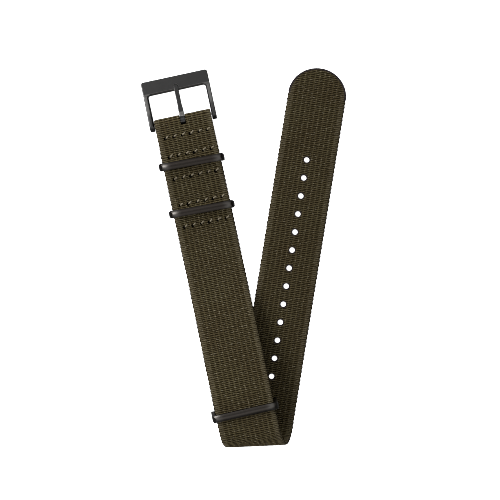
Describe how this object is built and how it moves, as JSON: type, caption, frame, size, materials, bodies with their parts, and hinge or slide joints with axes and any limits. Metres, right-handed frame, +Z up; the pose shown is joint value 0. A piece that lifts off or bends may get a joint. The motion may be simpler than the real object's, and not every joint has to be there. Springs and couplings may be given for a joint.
{
  "type": "nato watch strap",
  "caption": "Pass-through watch strap of woven webbing with a pin buckle on a spring bar, two fixed keepers and an end keeper on a short under strap.",
  "frame": {"origin": "middle of the overall box in plan, on the table that the strap lies on", "axes": "+Y runs along the front strip towards the buckle, which is the longest way, +X across the front strip towards the tail's side, +Z up off the table, the shortest way"},
  "size_m": [0.0688, 0.1322, 0.0176],
  "materials": {
    "webbing": "woven nylon, dark olive drab, matt",
    "thread": "bonded sewing thread, light beige",
    "hardware": "stainless steel, dark satin coated",
    "spring_bar_steel": "turned stainless steel"
  },
  "bodies": {
    "strap": {"main_strap": "webbing", "under_strap": "webbing", "spring_bar_tube": "spring_bar_steel", "spring_bar_spring": "spring_bar_steel", "needle_thread_a": "thread", "bobbin_thread_a": "thread", "needle_thread_b": "thread", "bobbin_thread_b": "thread", "needle_thread_c": "thread", "bobbin_thread_c": "thread", "needle_thread_d": "thread", "bobbin_thread_d": "thread", "needle_thread_e": "thread", "bobbin_thread_e": "thread", "needle_thread_f": "thread", "bobbin_thread_f": "thread"},
    "frame": {"buckle_frame": "hardware"},
    "tongue": {"buckle_tongue": "hardware"},
    "first_keeper": {"upper_keeper": "hardware"},
    "second_keeper": {"lower_keeper": "hardware"},
    "last_keeper": {"end_keeper": "hardware"},
    "left_tip": {"spring_bar_tip_left": "spring_bar_steel"},
    "right_tip": {"spring_bar_tip_right": "spring_bar_steel"}
  },
  "joints": [
    {"name": "frame_hinge", "type": "hinge", "parent": "strap", "child": "frame", "pos_m": [-0.02268, 0.05043, 0.00205], "axis": [1, 0, 0], "range_deg": [-100, 22]},
    {"name": "tongue_hinge", "type": "hinge", "parent": "frame", "child": "tongue", "pos_m": [-0.02268, 0.05043, 0.00205], "axis": [1, 0, 0], "range_deg": [0, 90]},
    {"name": "upper_keeper_hinge", "type": "hinge", "parent": "strap", "child": "first_keeper", "pos_m": [-0.02268, 0.03516, 0.00205], "axis": [0.9994, -0.0349, 0], "range_deg": [-42, 42]},
    {"name": "lower_keeper_hinge", "type": "hinge", "parent": "strap", "child": "second_keeper", "pos_m": [-0.02268, 0.01871, 0.00205], "axis": [0.9994, -0.0349, 0], "range_deg": [-42, 42]},
    {"name": "end_keeper_hinge", "type": "hinge", "parent": "strap", "child": "last_keeper", "pos_m": [-0.02259, -0.04977, 0.01133], "axis": [0.9989, 0.0046, -0.0457], "range_deg": [-55, 1]},
    {"name": "left_tip_slide", "type": "slide", "parent": "strap", "child": "left_tip", "axis": [1, 0, 0], "range_m": [0, 0.001], "stiffness_N_per_m": 400, "springref_m": -0.001, "deforming": ["spring_bar_spring"]},
    {"name": "right_tip_slide", "type": "slide", "parent": "strap", "child": "right_tip", "axis": [-1, 0, 0], "range_m": [0, 0.001], "stiffness_N_per_m": 400, "springref_m": -0.001, "deforming": ["spring_bar_spring"]}
  ]
}
